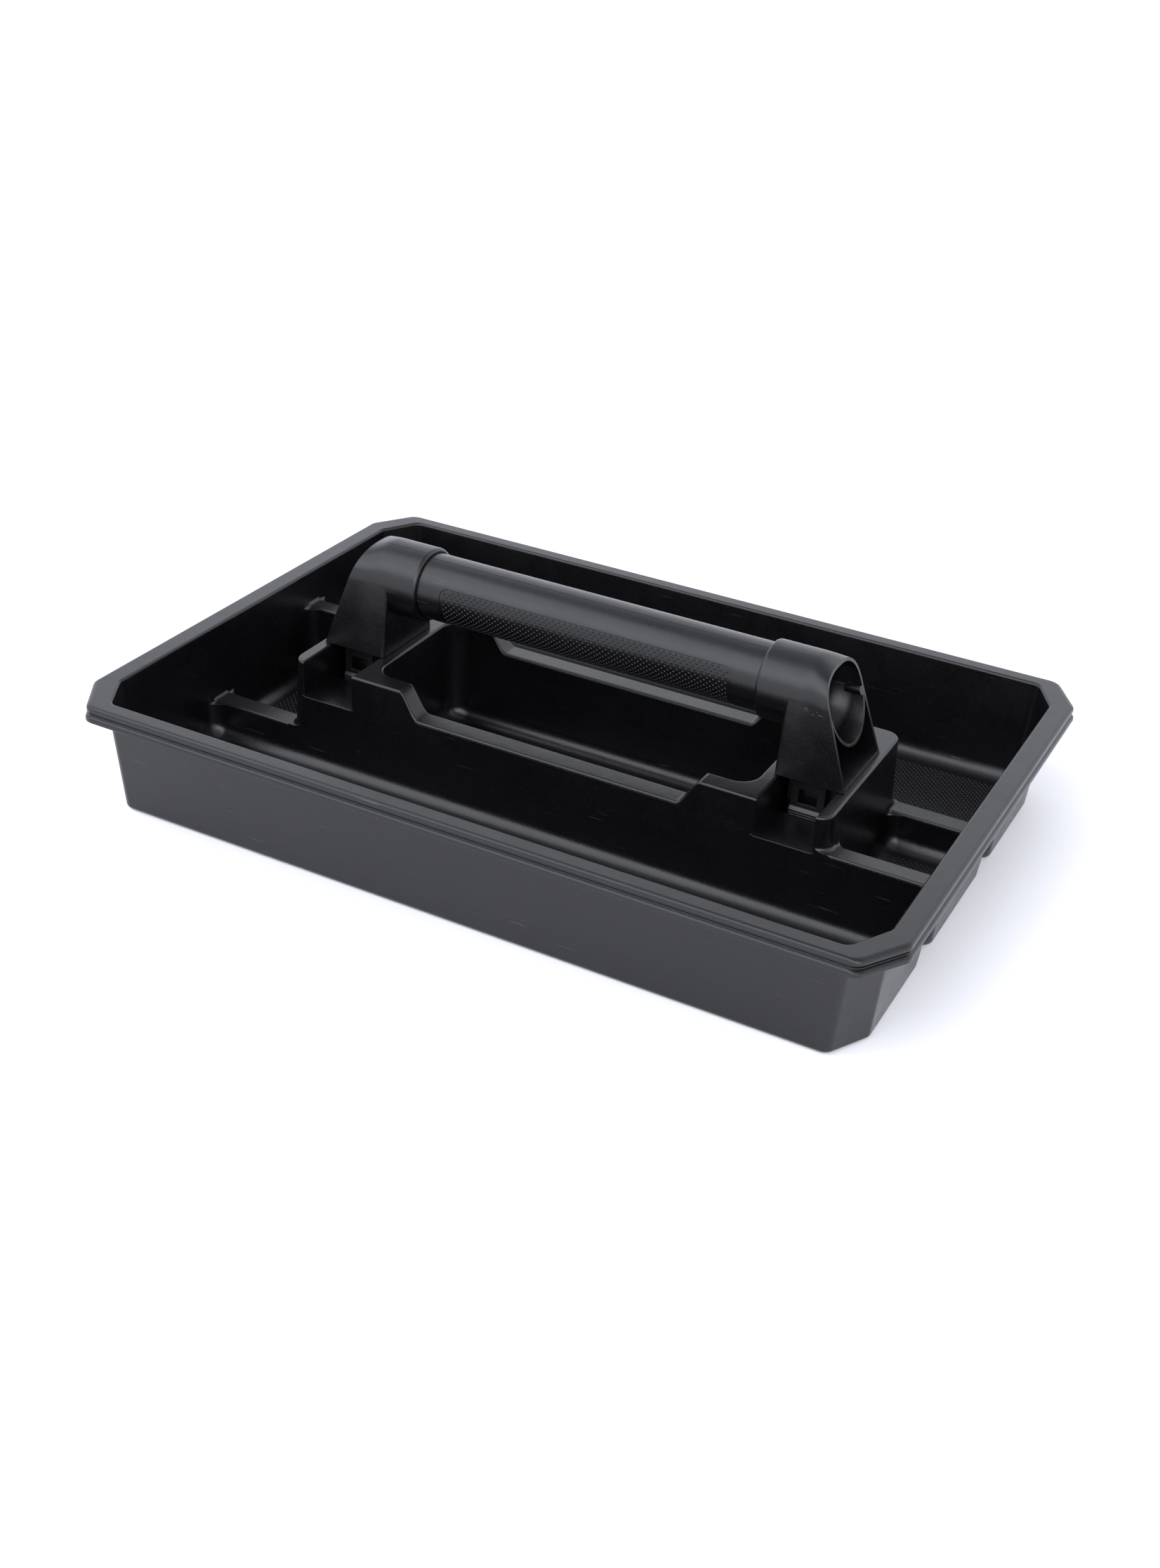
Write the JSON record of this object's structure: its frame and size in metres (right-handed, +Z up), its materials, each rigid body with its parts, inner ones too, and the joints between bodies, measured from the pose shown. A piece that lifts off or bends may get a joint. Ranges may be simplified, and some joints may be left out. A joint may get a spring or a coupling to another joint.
{
  "type": "carry tray with handle",
  "caption": "Shallow rectangular plastic carry tray with long and square compartments round a raised centre well and a lift-off tubular handle on two posts.",
  "frame": {"origin": "centre of the base, on the surface it stands on", "axes": "+X along the handle and the long side, +Y to the back, +Z up"},
  "size_m": [0.5016, 0.3476, 0.1342],
  "materials": {
    "tray": "black, fine matt grain",
    "handle_tube": "black, fine matt grain",
    "post_left": "black, fine matt grain",
    "post_right": "black, fine matt grain",
    "latch_right": "black, fine matt grain",
    "latch_left": "black, fine matt grain"
  },
  "bodies": {
    "tray": {"tray": "tray"},
    "handle": {"handle_tube": "handle_tube", "post_left": "post_left", "post_right": "post_right"},
    "latch_right": {"latch_right": "latch_right"},
    "latch_left": {"latch_left": "latch_left"}
  },
  "joints": [
    {"name": "handle_lift", "type": "slide", "parent": "tray", "child": "handle", "axis": [0, 0, 1], "range_m": [0, 0.05]},
    {"name": "press_right", "type": "hinge", "parent": "handle", "child": "latch_right", "pos_m": [0.148, -0.0228, 0.0675], "axis": [1, 0, 0], "range_deg": [0, 8], "stiffness_Nm_per_rad": 0.6},
    {"name": "press_left", "type": "hinge", "parent": "handle", "child": "latch_left", "pos_m": [-0.148, -0.0228, 0.0675], "axis": [1, 0, 0], "range_deg": [0, 8], "stiffness_Nm_per_rad": 0.6}
  ]
}
